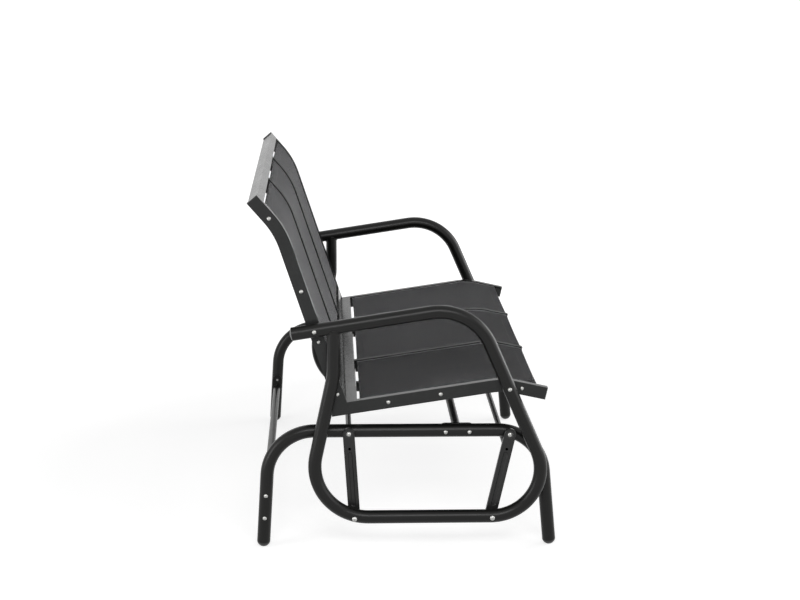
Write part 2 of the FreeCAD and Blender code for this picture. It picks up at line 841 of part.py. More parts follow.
# Seat unit
def side_frame(label, side):
    body = new_body(f"{label}_side_frame")
    corners = [arm_rear, arm_front, skid_front, skid_rear, upright_bend, upright_joint]
    radii = [
        size.arm_bend_radius,
        size.skid_front_radius,
        size.skid_rear_radius,
        size.upright_bend_radius,
    ]
    path = bent_path(body, "side_path", corners, radii)
    round_pipe(body, "Additive", "side_tube", path, size.tube_od)
    stub = new_sketch(body, "upright_end", "XY_Plane")
    circle(stub, (zero, size.upright_reach), size.tube_od)
    lift_to(stub, upright_joint[1])
    neck = extrude(body, "Pad", "upright_stub", stub, size.upright_joint_drop)
    neck.setExpression("TaperAngle", "atan(0 - Sizes.upright_swage / Sizes.upright_joint_drop)")
    doc.recompute()
    round_pipe(body, "Subtractive", "side_bore", path, tube_bore)
    core = new_sketch(body, "upright_core", "XY_Plane")
    circle(core, (zero, size.upright_reach), tube_bore - size.upright_swage * 2)
    lift_to(core, upright_joint[1])
    depth = size.upright_joint_drop - size.tube_od * 0.75
    extrude(body, "Pocket", "upright_bore", core, depth, reverse=True)
    holes(body, "side_bolt_holes", [arm_bolt, leg_bolt], bolt_hole)
    holes(body, "side_pivot_holes", [rear_hanger, front_hanger], pivot_hole)
    place(body, side_x * side, (zero, zero))
    keep(f"{label}_side_frame", body)


def arm_plug():
    body = new_body("left_arm_plug")
    dome_radius = (tube_radius * tube_radius + size.arm_plug_dome * size.arm_plug_dome) / (
        size.arm_plug_dome * 2
    )
    plug_radius = tube_bore / 2 - size.contact_gap
    points = [
        (zero, -size.arm_plug_dome),
        (tube_radius, zero),
        (plug_radius, zero),
        (plug_radius, size.plug_length),
        (zero, size.plug_length),
    ]
    revolve(body, "arm_plug_turned", points, "Y_Axis", {0: (dome_radius, 1)})
    stand = Rotation(Vector(1, 0, 0), 90)
    lean = turn_about_x(unit(minus(arm_front, arm_rear)))
    place(body, side_x, arm_rear, lean.multiply(stand))
    keep_pair("arm_plug", body)


def c_section(sketch, inward):
    """Slotted rectangular tube; the sling enters by the slot in the inward wall."""
    half = size.rail_width / 2
    wall = size.rail_wall
    top = size.rail_depth / 2
    slot_low = sling_rise - size.slot_height / 2
    slot_high = sling_rise + size.slot_height / 2
    side = as_dim(inward)
    points = [
        (half * side, slot_low),
        (half * side, -top),
        (-half * side, -top),
        (-half * side, top),
        (half * side, top),
        (half * side, slot_high),
        ((half - wall) * side, slot_high),
        ((half - wall) * side, top - wall),
        ((wall - half) * side, top - wall),
        ((wall - half) * side, wall - top),
        ((half - wall) * side, wall - top),
        ((half - wall) * side, slot_low),
    ]
    outline(sketch, points)


def double_c_section(sketch):
    """Two slotted channels back to back on a middle web."""
    half = size.inner_rail_width / 2
    wall = size.rail_wall
    web = size.inner_rail_web / 2
    top = size.rail_depth / 2
    slot_low = sling_rise - size.slot_height / 2
    slot_high = sling_rise + size.slot_height / 2
    right = [
        (half, top),
        (half, slot_high),
        (half - wall, slot_high),
        (half - wall, top - wall),
        (web, top - wall),
        (web, wall - top),
        (half - wall, wall - top),
        (half - wall, slot_low),
        (half, slot_low),
        (half, -top),
    ]
    left = [(-x, y) for x, y in reversed(right)]
    outline(sketch, right + left)


def seat_rail():
    body = new_body("left_seat_rail")
    path = bent_path(body, "seat_rail_path", [seat_rear, seat_crest, seat_front], [size.seat_bend_radius])
    section = section_sketch(body, "seat_rail_section", path)
    c_section(section, 1)
    pipe(body, "Additive", "seat_rail_tube", path, section)
    holes(body, "seat_rail_holes", list(seat_spreaders.values()) + [leg_bolt], bolt_hole)
    place(body, rail_x, (zero, zero))
    keep_pair("seat_rail", body)


def back_rail():
    body = new_body("left_back_rail")
    path = bent_path(body, "back_rail_path", [back_foot, back_bend, back_top], [size.back_bend_radius])
    section = section_sketch(body, "back_rail_section", path)
    c_section(section, -1)
    pipe(body, "Additive", "back_rail_tube", path, section)
    # The foot is coped to stand on the seat rail's top face
    top_face = times(top_normal(seat_along), size.rail_depth / 2 + size.contact_gap)
    rear = plus(back_foot, minus(top_face, times(seat_along, size.rail_depth * 2)))
    front = plus(back_foot, plus(top_face, times(seat_along, size.rail_depth * 2)))
    below = times(top_normal(seat_along), -size.rail_depth * 2)
    cut = new_sketch(body, "back_rail_cope", "YZ_Plane")
    outline(cut, [rear, front, plus(front, below), plus(rear, below)])
    extrude(body, "Pocket", "back_rail_end", cut, size.rail_width * 2, "Symmetric")
    holes(body, "back_rail_holes", list(back_spreaders.values()) + [low_bar, arm_bolt], bolt_hole)
    place(body, rail_x, (zero, zero))
    keep_pair("back_rail", body)


# Stretches between the end bars, on the rails' centre lines
seat_bar_top = on_line_at_y(seat_rear, seat_crest, seat_rear[0] - size.seat_bar_inset)
seat_bar_sink = size.rail_depth / 2 - size.seat_bar_height / 2
seat_bar = plus(seat_bar_top, times(top_normal(seat_along), seat_bar_sink))
seat_inner_start = plus(seat_bar_top, times(seat_along, size.seat_bar_width / 2 + size.contact_gap))
seat_inner_end = on_line_at_y(seat_crest, seat_front, seat_front[0] + size.inner_rail_setback)
seat_sling_start = plus(seat_bar_top, times(seat_along, size.seat_bar_width / 2 + size.sling_end_gap))
seat_sling_end = minus(seat_inner_end, times(seat_slope_down, size.sling_front_gap))
top_bar = minus(back_top, times(back_top_along, size.back_bar_width / 2))
bar_reach = size.back_bar_width / 2 + size.contact_gap
back_inner_start = plus(low_bar, times(back_along, bar_reach))
back_inner_end = minus(top_bar, times(back_top_along, bar_reach))
sling_reach = size.back_bar_width / 2 + size.sling_end_gap
back_sling_start = plus(low_bar, times(back_along, sling_reach))
back_sling_end = minus(top_bar, times(back_top_along, sling_reach))


def inner_rail(name, corners, radius, spreaders):
    body = new_body(f"left_{name}")
    path = bent_path(body, f"{name}_path", corners, [radius])
    section = section_sketch(body, f"{name}_section", path)
    double_c_section(section)
    pipe(body, "Additive", f"{name}_tube", path, section)
    holes(body, f"{name}_holes", spreaders, size.spreader_od + size.hole_play)
    place(body, inner_rail_x, (zero, zero))
    keep_pair(name, body)


def box_bar(name, centre, along, width, height, open_ends=True):
    """Rectangular tube across the width; width runs along the sling, height across it.

    A bar that is bolted on has a threaded plate in each end; a welded one is open.
    """
    body = new_body(name)
    sketch = new_sketch(body, f"{name}_section", "YZ_Plane")
    rectangle(sketch, (zero, zero), height, width)
    half_span = rail_inner - size.contact_gap
    extrude(body, "Pad", f"{name}_tube", sketch, half_span * 2, "Symmetric")
    core = new_sketch(body, f"{name}_core", "YZ_Plane")
    rectangle(core, (zero, zero), height - size.bar_wall * 2, width - size.bar_wall * 2)
    hollow = half_span if open_ends else half_span - size.bar_end_plate
    extrude(body, "Pocket", f"{name}_bore", core, hollow * 2, "Symmetric")
    if not open_ends:
        holes(body, f"{name}_threads", [(zero, zero)], size.bolt_dia + size.contact_gap * 2)
    place(body, zero, centre, turn_about_x(along))
    keep(name, body)


def spreader(name, centre):
    """Round tube between the outer rails with a threaded insert in each end."""
    body = new_body(name)
    half = rail_inner - size.contact_gap
    outer = size.spreader_od / 2
    bore = outer - size.spreader_wall
    thread = size.bolt_dia / 2 + size.contact_gap
    right = [(half, thread), (half, outer)]
    left = [(-half, outer), (-half, thread)]
    inside_left = [(size.spreader_insert - half, thread), (size.spreader_insert - half, bore)]
    inside_right = [(half - size.spreader_insert, bore), (half - size.spreader_insert, thread)]
    revolve(body, f"{name}_turned", right + left + inside_left + inside_right, "X_Axis")
    place(body, zero, centre)
    keep(name, body)


def sling(name, corners, radius):
    """One stretched panel: a thin sheet with a round hem bead along each edge."""
    body = new_body(f"middle_{name}")
    path = bent_path(body, f"{name}_path", corners, [radius])
    section = section_sketch(body, f"{name}_section", path)
    half = sling_width / 2
    bead = size.hem_dia / 2
    rise = sling_rise
    thick = size.sling_thickness / 2
    chord = root(bead * bead - thick * thick)
    neck = half - chord
    high = rise + thick
    low = rise - thick
    upper = section.addGeometry(Part.LineSegment(flat((neck, high)), flat((-neck, high))))
    lower = section.addGeometry(Part.LineSegment(flat((-neck, low)), flat((neck, low))))
    up = Vector(0, 0, 1)
    angle = math.asin(float(thick / bead))
    right_bead = Part.Circle(flat((half, rise)), up, float(bead))
    left_bead = Part.Circle(flat((-half, rise)), up, float(bead))
    right = section.addGeometry(Part.ArcOfCircle(right_bead, math.pi + angle, 3 * math.pi - angle))
    left = section.addGeometry(Part.ArcOfCircle(left_bead, angle, 2 * math.pi - angle))
    join(section, "Coincident", (right, 2), (upper, 1))
    join(section, "Coincident", (upper, 2), (left, 1))
    join(section, "Coincident", (left, 2), (lower, 1))
    join(section, "Coincident", (lower, 2), (right, 1))
    pin(section, right, 3, (half, rise))
    pin(section, left, 3, (-half, rise))
    bind(section, "Radius", (right,), bead)
    bind(section, "Radius", (left,), bead)
    section.addConstraint(Sketcher.Constraint("Horizontal", upper))
    section.addConstraint(Sketcher.Constraint("Horizontal", lower))
    bind(section, "DistanceY", (-1, 1, upper, 1), high)
    bind(section, "DistanceY", (-1, 1, lower, 1), low)
    pipe(body, "Additive", f"{name}_sheet", path, section)
    for side in (1, -1):
        pocket = section_sketch(body, f"{name}_hem_{side + 1}", path)
        circle(pocket, (half * side, rise), size.rod_dia + size.rod_play)
        pipe(body, "Subtractive", f"{name}_hem_bore_{side + 1}", path, pocket)
    keep(f"middle_{name}", body)
    for label, side in (("left", 1), ("right", -1)):
        copy = doc.addObject("Part::Feature", f"{label}_{name}")
        copy.Shape = body.Shape.copy()
        place(copy, sling_pitch * side, (zero, zero))
        keep(f"{label}_{name}", copy)


def sling_rods(name, corners, radius):
    body = new_body(f"{name}_master")
    path = bent_path(body, f"{name}_path", corners, [radius])
    section = section_sketch(body, f"{name}_section", path)
    circle(section, (zero, sling_rise), size.rod_dia)
    pipe(body, "Additive", f"{name}_rod", path, section)
    edges = [sling_width / 2, sling_pitch - sling_width / 2, sling_pitch + sling_width / 2]
    group(name, [(body, Placement(at(x, (zero, zero)), Rotation())) for x in edges])


def rail_cap(name, width):
    """Lid on a rail's open end at z = 0, with +Y towards the sling."""
    body = new_body(name)
    lid = new_sketch(body, f"{name}_outline", "XY_Plane")
    rectangle(lid, (zero, zero), width, size.rail_depth)
    extrude(body, "Pad", f"{name}_lid", lid, size.rail_cap)
    return body


def rail_tongue(body, name, offset, width):
    tongue = new_sketch(body, f"{name}_outline", "XY_Plane")
    floor = size.rail_wall + size.contact_gap - size.rail_depth / 2
    roof = sling_rise - size.hem_dia / 2 - size.contact_gap
    rectangle(tongue, (offset, (floor + roof) / 2), width, roof - floor)
    extrude(body, "Pad", name, tongue, size.rail_cap_plug, reverse=True)


def rail_caps():
    wide = size.rail_wall + size.contact_gap
    outer_cap = rail_cap("rail_cap_master", size.rail_width)
    rail_tongue(outer_cap, "outer_tongue", zero, size.rail_width - wide * 2)
    inner_cap = rail_cap("inner_cap_master", size.inner_rail_width)
    web = size.inner_rail_web / 2 + size.contact_gap
    room = size.inner_rail_width / 2 - wide - web
    rail_tongue(inner_cap, "left_tongue", web + room / 2, room)
    rail_tongue(inner_cap, "right_tongue", -web - room / 2, room)
    seat_end = turn_about_x(seat_slope_down)
    half_round = Rotation(Vector(0, 0, 1), 180)
    back_end = turn_about_x(back_top_along).multiply(half_round)
    rear_end = turn_about_x(times(seat_along, as_dim(-1))).multiply(half_round)
    copies = [
        (outer_cap, Placement(at(rail_x, seat_front), seat_end)),
        (outer_cap, Placement(at(rail_x, back_top), back_end)),
        (outer_cap, Placement(at(rail_x, seat_rear), rear_end)),
        (inner_cap, Placement(at(inner_rail_x, seat_inner_end), seat_end)),
    ]
    group("rail_end_caps", copies)


def seat_fasteners():
    inner_grip = rail_outer - rail_inner + size.spreader_insert * 0.8
    master = m6("rail_bolt_master", inner_grip)
    seat_spots = spots(rail_outer, seat_spreaders.values())
    group("seat_rail_bolts", [(master, spot) for spot in seat_spots])
    back_spots = spots(rail_outer, list(back_spreaders.values()) + [low_bar])
    group("back_rail_bolts", [(master, spot) for spot in back_spots])
    nut_seat = rail_inner
    grip = side_x + tube_radius - nut_seat + size.nut_height + size.bolt_tail
    master = m6("frame_bolt_master", grip)
    points = [arm_bolt, leg_bolt]
    outer_face = side_x + tube_radius
    group("frame_bolts", [(master, spot) for spot in spots(outer_face, points)])
    master = nut("frame_nut_master", size.bolt_dia, size.nut_width, size.nut_height)
    group("frame_nuts", [(master, spot) for spot in spots(nut_seat, points)])
    nut_seat = link_inner - size.bush_flange
    grip = outer_face - nut_seat + size.pivot_nut_height + size.bolt_tail
    master = m8("lower_pivot_master", grip)
    points = [front_hanger, rear_hanger]
    group("lower_pivot_bolts", [(master, spot) for spot in spots(outer_face, points)])
    master = nut("lower_nut_master", size.pivot_dia, size.pivot_nut_width, size.pivot_nut_height)
    group("lower_pivot_nuts", [(master, spot) for spot in spots(nut_seat, points)])


base_frame()
foot("front_foot", front_foot, front_shoulder, front_tube_end)
foot("rear_foot", rear_foot, rear_shoulder, rear_tube_end)
crossbar("base_front_crossbar", front_crossbar, Rotation(Vector(1, 0, 0), 90))
crossbar("base_rear_crossbar", rear_crossbar, turn_about_x(rear_leg_along))
base_fasteners()
close_bore = size.pivot_dia + size.pivot_play
link_pair("rear", rear_pivot, rear_hanger, close_bore, zero)
# The front lower eye is bored large and set back: it is where the linkage's loop stays open
link_pair("front", front_pivot, front_hanger, size.open_eye_dia, size.open_eye_offset)
side_frame("left", 1)
side_frame("right", -1)
arm_plug()
seat_rail()
back_rail()
seat_line = [seat_inner_start, seat_crest, seat_inner_end]
inner_rail("inner_seat_rail", seat_line, size.seat_bend_radius, list(seat_spreaders.values()))
back_line = [back_inner_start, back_bend, back_inner_end]
inner_rail("inner_back_rail", back_line, size.back_bend_radius, list(back_spreaders.values()))
box_bar("seat_rear_bar", seat_bar, seat_along, size.seat_bar_width, size.seat_bar_height)
box_bar("back_low_bar", low_bar, back_along, size.back_bar_width, size.rail_depth, open_ends=False)
box_bar("back_top_bar", top_bar, back_top_along, size.back_bar_width, size.rail_depth)
for place_name, centre in seat_spreaders.items():
    spreader(f"seat_{place_name}_spreader", centre)
for place_name, centre in back_spreaders.items():
    spreader(f"back_{place_name}_spreader", centre)
seat_sling_line = [seat_sling_start, seat_crest, seat_sling_end]
back_sling_line = [back_sling_start, back_bend, back_sling_end]
sling("seat_sling", seat_sling_line, size.seat_bend_radius)
sling("back_sling", back_sling_line, size.back_bend_radius)
sling_rods("seat_sling_rods", seat_sling_line, size.seat_bend_radius)
sling_rods("back_sling_rods", back_sling_line, size.back_bend_radius)
rail_caps()
seat_fasteners()

doc.recompute()
for item in doc.Objects:
    if "Invalid" in item.State or "Error" in item.State:
        raise ValueError(f"{item.Label} failed: {item.State}")
os.makedirs("parts", exist_ok=True)
for name, item in nodes.items():
    shape = item.Shape
    if shape.isNull() or not shape.isValid():
        raise ValueError(f"{name} has no valid shape")
    if shape.Volume <= 0:
        raise ValueError(f"{name} is inside out")
    shape.exportStep(f"parts/{name}.step")
    print(f"{name}: {len(shape.Solids)} solids, {shape.Volume / 1000:.1f} cm3")
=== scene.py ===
import json
import math
import bpy
import numpy as np
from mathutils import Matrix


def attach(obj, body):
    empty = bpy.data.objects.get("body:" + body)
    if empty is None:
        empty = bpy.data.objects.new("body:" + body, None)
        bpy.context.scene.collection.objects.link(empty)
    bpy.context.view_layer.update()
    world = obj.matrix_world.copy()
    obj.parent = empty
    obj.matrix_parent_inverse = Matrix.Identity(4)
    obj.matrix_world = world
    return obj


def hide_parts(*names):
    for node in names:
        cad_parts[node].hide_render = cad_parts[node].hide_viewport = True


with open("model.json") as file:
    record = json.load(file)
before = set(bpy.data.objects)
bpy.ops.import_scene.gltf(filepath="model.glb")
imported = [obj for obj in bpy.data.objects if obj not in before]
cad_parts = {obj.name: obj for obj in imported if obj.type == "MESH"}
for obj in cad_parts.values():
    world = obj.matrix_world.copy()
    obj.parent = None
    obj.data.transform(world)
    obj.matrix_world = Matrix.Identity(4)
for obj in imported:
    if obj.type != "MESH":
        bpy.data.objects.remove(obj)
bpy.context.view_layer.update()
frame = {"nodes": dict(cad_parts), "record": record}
nodes = frame["nodes"]


# shader maths: a Wire is a node's output, and sums and products on it add Math nodes
class Wire:
    def __init__(self, graph, socket):
        self.graph = graph
        self.socket = socket

    def reckon(self, operation, first, second=None):
        values = {0: first} if second is None else {0: first, 1: second}
        return self.graph.node("ShaderNodeMath", {"operation": operation}, values)

    def __add__(self, other):
        return self.reckon("ADD", self, other)

    def __sub__(self, other):
        return self.reckon("SUBTRACT", self, other)

    def __mul__(self, other):
        return self.reckon("MULTIPLY", self, other)

    def __radd__(self, other):
        return self.reckon("ADD", other, self)

    def __rsub__(self, other):
        return self.reckon("SUBTRACT", other, self)

    def __rmul__(self, other):
        return self.reckon("MULTIPLY", other, self)

    def sin(self):
        return self.reckon("SINE", self)

    def abs(self):
        return self.reckon("ABSOLUTE", self)

    def larger(self, other):
        return self.reckon("MAXIMUM", self, other)

    def above(self, level):
        return self.reckon("GREATER_THAN", self, level)

    def clamp(self):
        return self.graph.node("ShaderNodeClamp", {}, {"Value": self})

    # a noise of 0 to 1, moved to swing about 0
    def centred(self):
        return self - 0.5


# the node tree of a material or the world
class Graph:
    def __init__(self, owner):
        owner.use_nodes = True
        self.tree = owner.node_tree
        self.tree.nodes.clear()

    # any node: its settings first, then the values or wires of its sockets
    def node(self, kind, settings, values, out=0):
        made = self.tree.nodes.new(kind)
        for key, value in settings.items():
            setattr(made, key, value)
        for key, value in values.items():
            if isinstance(value, Wire):
                self.tree.links.new(value.socket, made.inputs[key])
            else:
                made.inputs[key].default_value = value
        return Wire(self, made.outputs[out])

    def show(self, shader, kind):
        output = self.tree.nodes.new(kind)
        self.tree.links.new(shader, output.inputs["Surface"])

    # 1 for rays that see a surface straight on, in a reflection or through glass
    def seen(self):
        rays = ("Is Camera Ray", "Is Glossy Ray", "Is Transmission Ray")
        camera, glossy, through = (self.node("ShaderNodeLightPath", {}, {}, ray) for ray in rays)
        return camera.larger(glossy).larger(through)


class Finish(Graph):
    def __init__(self, name, constants):
        self.material = bpy.data.materials.new(name)
        super().__init__(self.material)
        self.shader = self.tree.nodes.new("ShaderNodeBsdfPrincipled")
        self.show(self.shader.outputs[0], "ShaderNodeOutputMaterial")
        for socket, value in constants.items():
            self.shader.inputs[socket].default_value = value

    def feed(self, **wires):
        for socket, wire in wires.items():
            name = socket.replace("_", " ")
            self.tree.links.new(wire.socket, self.shader.inputs[name])

    def place(self):
        return self.node("ShaderNodeTexCoord", {}, {}, "Object")

    def noise(self, scale, detail, vector=None):
        values = {"Vector": vector or self.place(), "Scale": scale, "Detail": detail}
        return self.node("ShaderNodeTexNoise", {}, values, "Fac")

    # noise drawn out along one yarn direction of a cloth's UV
    def slub(self, uv, stretch):
        drawn = self.node("ShaderNodeMapping", {}, {"Vector": uv, "Scale": stretch})
        return self.noise(scale=1.0, detail=1.0, vector=drawn).centred()

    # a mix of two colours, which the Mix node has at its inputs 6 and 7 and its output 2
    def mix(self, share, first, second):
        settings = {"data_type": "RGBA"}
        values = {0: share, 6: (*first, 1), 7: (*second, 1)}
        return self.node("ShaderNodeMix", settings, values, 2)

    def bump(self, height, strength, distance):
        values = {"Height": height, "Strength": strength, "Distance": distance}
        return self.node("ShaderNodeBump", {}, values)


# powder coat: fine orange peel under a satin skin, a little cloudy in colour and gloss
coatGrain = {"cloudDetail": 3.0, "peelDetail": 1.0, "cloudGloss": 0.16, "peelGloss": 0.08, "peelDepth": 0.0003}


def powderCoat(name, look):
    finish = Finish(name, {"IOR": 1.5, "Specular IOR Level": look["specular"]})
    cloud = finish.noise(look["cloudScale"], coatGrain["cloudDetail"])
    peel = finish.noise(look["peelScale"], coatGrain["peelDetail"])
    uneven = cloud.centred() * coatGrain["cloudGloss"] + peel.centred() * coatGrain["peelGloss"]
    finish.feed(
        Base_Color=finish.mix(cloud, look["dark"], look["light"]),
        Roughness=look["roughness"] + uneven,
        Normal=finish.bump(peel, look["peelStrength"], coatGrain["peelDepth"]),
    )
    return finish.material


tubeLook = {
    "dark": (0.0045, 0.0045, 0.0042), "light": (0.0090, 0.0090, 0.0084),
    "roughness": 0.31, "specular": 0.22, "cloudScale": 14.0, "peelScale": 900.0, "peelStrength": 0.10,
}
railLook = {
    "dark": (0.0190, 0.0197, 0.0195), "light": (0.0320, 0.0330, 0.0326),
    "roughness": 0.26, "specular": 0.17, "cloudScale": 18.0, "peelScale": 1100.0, "peelStrength": 0.07,
}
# the inner rails show only in the seams between slings; these copies of the rail coat are given less gloss and less
# reflection than it, a painted shade for the seams
seatSeamShadeLook = {**railLook, "roughness": 0.40, "specular": 0.06}
backSeamShadeLook = {**railLook, "roughness": 0.40, "specular": 0.035}
linkLook = {
    "dark": (0.0170, 0.0170, 0.0170), "light": (0.0290, 0.0290, 0.0285),
    "roughness": 0.30, "specular": 0.24, "cloudScale": 22.0, "peelScale": 900.0, "peelStrength": 0.10,
}
nutLook = {
    "dark": (0.010, 0.010, 0.010), "light": (0.020, 0.020, 0.020),
    "roughness": 0.38, "specular": 0.35, "cloudScale": 90.0, "peelScale": 1500.0, "peelStrength": 0.10,
}


# zinc plate: bright metal with a faint passivation cloud and fine turning marks
def zincPlate(name, look):
    finish = Finish(name, {"Metallic": 1.0})
    cloud = finish.noise(look["cloudScale"], look["cloudDetail"])
    grain = finish.noise(look["grainScale"], look["grainDetail"])
    finish.feed(
        Base_Color=finish.mix(cloud, look["dark"], look["light"]),
        Roughness=look["roughness"] + cloud.centred() * look["cloudGloss"],
        Normal=finish.bump(grain, look["grainStrength"], look["grainDepth"]),
    )
    return finish.material


zincLook = {
    "dark": (0.33, 0.33, 0.32), "light": (0.49, 0.49, 0.475), "roughness": 0.32,
    "cloudScale": 160.0, "cloudDetail": 4.0, "cloudGloss": 0.2,
    "grainScale": 1800.0, "grainDetail": 1.0, "grainStrength": 0.12, "grainDepth": 0.0002,
}

# moulded plastic: a spark-eroded grain, a little cloudy in colour
plasticGrain = {"cloudScale": 60.0, "detail": 2.0, "grainGloss": 0.22, "grainDepth": 0.0003}


def mouldedPlastic(name, look):
    finish = Finish(name, {"IOR": 1.46})
    grain = finish.noise(look["grainScale"], plasticGrain["detail"])
    cloud = finish.noise(plasticGrain["cloudScale"], plasticGrain["detail"])
    finish.feed(
        Base_Color=finish.mix(cloud, look["dark"], look["light"]),
        Roughness=look["roughness"] + grain.centred() * plasticGrain["grainGloss"],
        Normal=finish.bump(grain, look["grainStrength"], plasticGrain["grainDepth"]),
    )
    return finish.material


capLook = {
    "dark": (0.006, 0.006, 0.006), "light": (0.012, 0.012, 0.012),
    "roughness": 0.30, "grainScale": 1400.0, "grainStrength": 0.05,
}
bushLook = {
    "dark": (0.010, 0.010, 0.010), "light": (0.018, 0.018, 0.018),
    "roughness": 0.44, "grainScale": 1600.0, "grainStrength": 0.25,
}
beadLook = {
    "dark": (0.020, 0.020, 0.020), "light": (0.045, 0.045, 0.046),
    "roughness": 0.6, "grainScale": 700.0, "grainStrength": 0.25,
}
rodLook = {
    "dark": (0.030, 0.030, 0.030), "light": (0.045, 0.045, 0.045),
    "roughness": 0.4, "grainScale": 900.0, "grainStrength": 0.25,
}


# coated mesh: ribs of twin yarn along the sling, crossed by finer weft, on the sling's own UV in metres;
# the yarn on top at a crossing is told by the sign of the two waves' product
def slingMesh(name, look):
    finish = Finish(name, {
        "IOR": 1.5, "Specular IOR Level": look["specular"], "Sheen Weight": look["sheen"],
        "Sheen Roughness": look["sheenRoughness"], "Sheen Tint": look["sheenTint"],
    })
    uv = finish.node("ShaderNodeUVMap", {"uv_map": "cloth"}, {})
    across, along = (finish.node("ShaderNodeSeparateXYZ", {}, {0: uv}, axis) for axis in "XY")
    warp = (across * (math.pi / look["warpPitch"])).sin()
    weft = (along * (math.pi / look["weftPitch"])).sin()
    over = (warp * weft).above(0.0)
    yarn = over * warp.abs() + (1 - over) * weft.abs()
    cloud = finish.noise(look["cloudScale"], look["cloudDetail"]).centred()
    fleck = finish.noise(look["fleckScale"], look["fleckDetail"]).centred()
    slub = finish.slub(uv, look["warpSlub"]) + finish.slub(uv, look["weftSlub"])
    streak = finish.slub(uv, look["streak"])
    thread = yarn * look["yarnTone"] + slub * look["slubTone"]
    patch = cloud * look["cloudTone"] + fleck * look["fleckTone"] + streak * look["streakTone"]
    finish.feed(
        Base_Color=finish.mix((thread + patch).clamp(), look["dark"], look["light"]),
        Roughness=look["roughness"] - yarn * look["yarnGloss"] + cloud * look["cloudGloss"],
        Normal=finish.bump(yarn, look["yarnStrength"], look["yarnDepth"]),
    )
    return finish.material


meshLook = {
    "dark": (0.0138, 0.0138, 0.0143), "light": (0.057, 0.057, 0.058), "roughness": 0.66, "specular": 0.0,
    "sheen": 1.0, "sheenRoughness": 0.122, "sheenTint": (0.9, 0.9, 0.92, 1),
    "warpPitch": 0.0017, "weftPitch": 0.0013,
    "cloudScale": 9.0, "cloudDetail": 3.0, "fleckScale": 420.0, "fleckDetail": 1.0,
    "warpSlub": (520.0, 14.0, 1.0), "weftSlub": (14.0, 640.0, 1.0), "streak": (38.0, 5.0, 1.0),
    "yarnTone": 0.8, "slubTone": 0.65, "cloudTone": 0.40, "fleckTone": 0.4, "streakTone": 0.55,
    "yarnGloss": 0.12, "cloudGloss": 0.1, "yarnStrength": 0.5, "yarnDepth": 0.0003,
}


# thread: twisted filament, a shade lighter than the cloth
def stitchThread(name, look):
    finish = Finish(name, {"IOR": 1.5})
    twist = finish.noise(look["twistScale"], look["twistDetail"])
    finish.feed(
        Base_Color=finish.mix(twist, look["dark"], look["light"]),
        Roughness=look["roughness"] + twist.centred() * look["twistGloss"],
    )
    return finish.material


threadLook = {
    "dark": (0.035, 0.035, 0.037), "light": (0.070, 0.070, 0.072),
    "roughness": 0.5, "twistScale": 2200.0, "twistDetail": 1.0, "twistGloss": 0.2,
}

finishes = {
    "tube_coat": powderCoat("tubeCoat", tubeLook),
    "rail_coat": powderCoat("railCoat", railLook),
    "link_coat": powderCoat("linkCoat", linkLook),
    "dark_fastener": powderCoat("blackZinc", nutLook),
    "zinc_fastener": zincPlate("zincPlate", zincLook),
    "cap_plastic": mouldedPlastic("capPlastic", capLook),
    "bush_plastic": mouldedPlastic("bushPlastic", bushLook),
    "hem_rod": mouldedPlastic("hemRod", rodLook),
    "sling_mesh": slingMesh("slingMesh", meshLook),
}
edgeFinish = mouldedPlastic("rolledEdge", beadLook)
threadFinish = stitchThread("stitchThread", threadLook)
# the inner rails take the less reflective seam copies of the rail coat, a painted shade for the seams
seamShadeFinishes = {
    "inner_seat_rail": powderCoat("seatSeam", seatSeamShadeLook),
    "inner_back_rail": powderCoat("backSeam", backSeamShadeLook),
}
for entry in frame["record"]["subparts"]:
    node = nodes[entry["node"]]
    kind = entry["node"].partition("_")[2]  # the name less its side
    node.data.materials.clear()
    node.data.materials.append(seamShadeFinishes.get(kind, finishes[entry["material_slot"]]))
print("finishes:", len(finishes) + len(seamShadeFinishes) + 2)


def meshPiece(name, points, faces, finish, uv=None):
    mesh = bpy.data.meshes.new(name)
    mesh.from_pydata(points.tolist(), [], faces)
    if uv is not None:
        layer = mesh.uv_layers.new(name="cloth")
        corner = np.empty(len(mesh.loops), np.int32)
        mesh.loops.foreach_get("vertex_index", corner)
        layer.data.foreach_set("uv", uv[corner].astype(np.float32).ravel())
    mesh.materials.append(finish)
    mesh.shade_smooth()
    piece = bpy.data.objects.new(name, mesh)
    bpy.context.scene.collection.objects.link(piece)
    return piece


# quads of a grid of rows by columns; a closed direction joins its last line to its first
def gridFaces(rows, columns, closeRows=False, closeColumns=False):
    r = np.arange(rows if closeRows else rows - 1)
    c = np.arange(columns if closeColumns else columns - 1)
    i, j = np.meshgrid(r, c, indexing="ij")
    nextI, nextJ = (i + 1) % rows, (j + 1) % columns
    corners = [i * columns + j, i * columns + nextJ, nextI * columns + nextJ, nextI * columns + j]
    return np.stack(corners, -1).reshape(-1, 4)


# angles evenly round a full turn
def roundTurn(count):
    return np.arange(count) * 2 * math.pi / count


# the rails' centre lines in the side plane: two straight runs joined by a tangent arc
seatLine = {"rear": (0.175, 0.3513), "corner": (-0.230, 0.413), "front": (-0.331, 0.391), "bend": 0.150}
backLine = {"rear": (0.1505, 0.35503), "corner": (0.295, 0.78503), "front": (0.357, 0.85603), "bend": 0.200}

# insets are from the line's ends to the cloth's; flip is the side of the line that is sat on
seatSling = {"line": seatLine, "startInset": 0.06853, "endInset": 0.02148, "flip": -1, "body": "seat"}
backSling = {"line": backLine, "startInset": 0.05698, "endInset": 0.03000, "flip": 1, "body": "seat"}
slingSize = {
    "width": 0.33963, "pitch": 0.34693, "rise": 0.0110, "thick": 0.0012, "along": 110, "across": 44,
    "sag": 0.0012, "sagAtEnds": 0.55, "sagBetween": 0.45, "scallop": 0.0007, "scallopReach": 0.05,
    "hemWidth": 0.025, "hemThick": 0.0009, "hemStep": 0.003, "hemSteps": 9, "hemSoftness": 0.0006, "noseSteps": 7,
}


